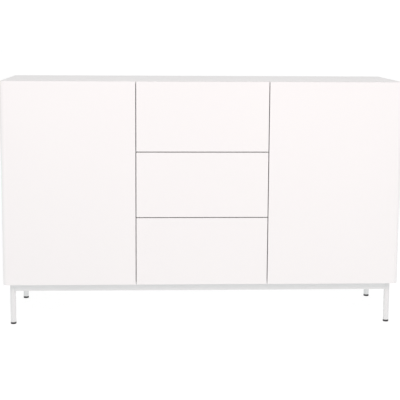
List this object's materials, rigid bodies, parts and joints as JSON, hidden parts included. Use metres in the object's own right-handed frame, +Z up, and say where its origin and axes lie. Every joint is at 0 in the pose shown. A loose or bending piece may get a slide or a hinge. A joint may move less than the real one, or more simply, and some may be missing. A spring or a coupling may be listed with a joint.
{
  "type": "sideboard buffet",
  "caption": "Low, wide handleless sideboard with a door each side of a stack of drawers, on round metal legs with rails.",
  "frame": {"origin": "on the floor, below the middle of the cabinet", "axes": "+X along the width to the right as seen from the front, +Y from the front to the back, +Z up; the doors and drawers face -Y"},
  "size_m": [1.4, 0.4, 0.865],
  "materials": {
    "white_lacquer": "satin white lacquer on fibreboard",
    "white_melamine": "matt white melamine-faced board",
    "white_hardboard": "painted hardboard",
    "white_enamel": "white powder coat",
    "black_plastic": "matt black",
    "grey_plastic": "matt grey",
    "birch": "plain birch",
    "zinc": "zinc-plated"
  },
  "bodies": {
    "root": {"top_panel": "white_lacquer", "bottom_panel": "white_melamine", "left_side_panel": "white_lacquer", "right_side_panel": "white_lacquer", "left_partition": "white_melamine", "right_partition": "white_melamine", "left_back_panel": "white_hardboard", "middle_back_panel": "white_hardboard", "right_back_panel": "white_hardboard", "left_shelf": "white_melamine", "right_shelf": "white_melamine", "shelf_pins": "zinc", "dowels": "birch", "cam_fittings": "zinc", "front_rail": "white_enamel", "back_rail": "white_enamel", "left_rail": "white_enamel", "right_rail": "white_enamel", "corner_plates": "white_enamel", "front_left_leg": "white_enamel", "front_right_leg": "white_enamel", "back_left_leg": "white_enamel", "back_right_leg": "white_enamel", "floor_glides": "black_plastic", "frame_screws": "zinc", "left_hinge_arms": "zinc", "right_hinge_arms": "zinc", "hinge_plate_screws": "zinc", "latch_housings": "grey_plastic", "runner_channels": "zinc"},
    "left_door": {"left_door": "white_lacquer", "left_hinge_cups": "zinc", "left_hinge_screws": "zinc", "left_hinge_pins": "zinc", "left_strike_plate": "zinc"},
    "right_door": {"right_door": "white_lacquer", "right_hinge_cups": "zinc", "right_hinge_screws": "zinc", "right_hinge_pins": "zinc", "right_strike_plate": "zinc"},
    "left_latch": {"left_latch_plunger": "black_plastic"},
    "right_latch": {"right_latch_plunger": "black_plastic"},
    "top_runner": {"top_runner_slides": "zinc"},
    "top_drawer": {"top_drawer_front": "white_lacquer", "top_drawer_sides": "white_melamine", "top_drawer_back": "white_melamine", "top_drawer_bottom": "white_hardboard", "top_drawer_runners": "zinc"},
    "middle_runner": {"middle_runner_slides": "zinc"},
    "middle_drawer": {"middle_drawer_front": "white_lacquer", "middle_drawer_sides": "white_melamine", "middle_drawer_back": "white_melamine", "middle_drawer_bottom": "white_hardboard", "middle_drawer_runners": "zinc"},
    "bottom_runner": {"bottom_runner_slides": "zinc"},
    "bottom_drawer": {"bottom_drawer_front": "white_lacquer", "bottom_drawer_sides": "white_melamine", "bottom_drawer_back": "white_melamine", "bottom_drawer_bottom": "white_hardboard", "bottom_drawer_runners": "zinc"}
  },
  "joints": [
    {"name": "door_left_swing", "type": "hinge", "parent": "root", "child": "left_door", "pos_m": [-0.69, -0.19, 0.5065], "axis": [0, 0, -1], "range_deg": [0, 95]},
    {"name": "door_right_swing", "type": "hinge", "parent": "root", "child": "right_door", "pos_m": [0.69, -0.19, 0.5065], "axis": [0, 0, 1], "range_deg": [0, 95]},
    {"name": "drawer_top_slide", "type": "slide", "parent": "root", "child": "top_drawer", "axis": [0, -1, 0], "range_m": [0, 0.34]},
    {"name": "drawer_middle_slide", "type": "slide", "parent": "root", "child": "middle_drawer", "axis": [0, -1, 0], "range_m": [0, 0.34]},
    {"name": "drawer_bottom_slide", "type": "slide", "parent": "root", "child": "bottom_drawer", "axis": [0, -1, 0], "range_m": [0, 0.34]},
    {"name": "latch_left_press", "type": "slide", "parent": "root", "child": "left_latch", "axis": [0, 1, 0], "range_m": [0, 0.003], "stiffness_N_per_m": 300},
    {"name": "latch_right_press", "type": "slide", "parent": "root", "child": "right_latch", "axis": [0, 1, 0], "range_m": [0, 0.003], "stiffness_N_per_m": 300},
    {"name": "runner_top_slide", "type": "slide", "parent": "root", "child": "top_runner", "axis": [0, -1, 0], "range_m": [0, 0.17]},
    {"name": "runner_middle_slide", "type": "slide", "parent": "root", "child": "middle_runner", "axis": [0, -1, 0], "range_m": [0, 0.17]},
    {"name": "runner_bottom_slide", "type": "slide", "parent": "root", "child": "bottom_runner", "axis": [0, -1, 0], "range_m": [0, 0.17]}
  ],
  "couplings": [
    {"joint": "runner_top_slide", "follows": "drawer_top_slide", "ratio": 0.5},
    {"joint": "runner_middle_slide", "follows": "drawer_middle_slide", "ratio": 0.5},
    {"joint": "runner_bottom_slide", "follows": "drawer_bottom_slide", "ratio": 0.5}
  ]
}
